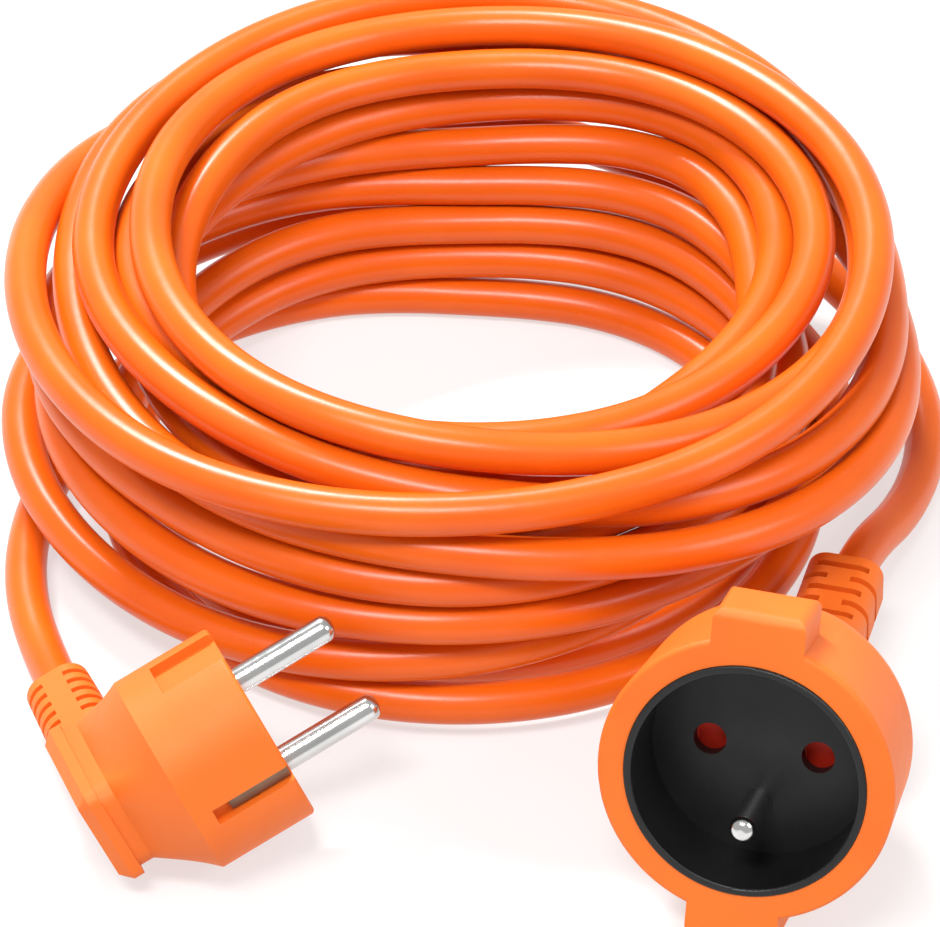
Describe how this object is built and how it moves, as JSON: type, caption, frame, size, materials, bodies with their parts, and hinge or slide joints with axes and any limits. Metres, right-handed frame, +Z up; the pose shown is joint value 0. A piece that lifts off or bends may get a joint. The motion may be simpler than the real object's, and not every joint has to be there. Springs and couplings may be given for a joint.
{
  "type": "extension cord",
  "caption": "Orange earthed mains extension cord: an angled plug, a shuttered socket connector with an earth pin, and a loose round coil of cable between them.",
  "frame": {"origin": "on the surface it lies on, below the centre of the box round the plug and the socket connector", "axes": "+Z up, +X from the plug towards the socket connector, +Y from the two fittings towards the coil behind them"},
  "size_m": [0.1786, 0.2155, 0.061],
  "materials": {
    "sheath": "satin orange PVC sheath",
    "moulding": "fine matt orange PVC overmoulding",
    "plug_carrier": "matt orange rigid pin carrier",
    "black_insulator": "satin black rigid insulator",
    "nickel": "nickel-plated brass",
    "brass": "stamped brass",
    "shutter_red": "matt red moulding",
    "spring_steel": "bright spring wire",
    "core_brown": "satin brown core insulation",
    "core_blue": "satin blue core insulation",
    "core_green": "green and yellow core insulation"
  },
  "bodies": {
    "cord_set": {"plug_body": "moulding", "plug_bridge": "plug_carrier", "plug_line_pin": "nickel", "plug_neutral_pin": "nickel", "plug_earth_clips": "nickel", "plug_earth_sleeve": "brass", "plug_line_wire": "core_brown", "plug_neutral_wire": "core_blue", "plug_earth_wire": "core_green", "socket_body": "moulding", "socket_insert": "black_insulator", "contact_carrier": "black_insulator", "socket_earth_pin": "nickel", "socket_line_contact": "brass", "socket_neutral_contact": "brass", "socket_earth_strip": "brass", "shutter_spring": "spring_steel", "socket_line_wire": "core_brown", "socket_neutral_wire": "core_blue", "socket_earth_wire": "core_green", "cord_coil": "sheath", "plug_lead": "sheath", "socket_lead": "sheath"},
    "shutter": {"shutter": "shutter_red"}
  },
  "joints": [
    {"name": "shutter_slide", "type": "slide", "parent": "cord_set", "child": "shutter", "axis": [0.0671, 0.3231, 0.944], "range_m": [0, 0.0058], "stiffness_N_per_m": 120, "deforming": ["shutter_spring"]}
  ]
}
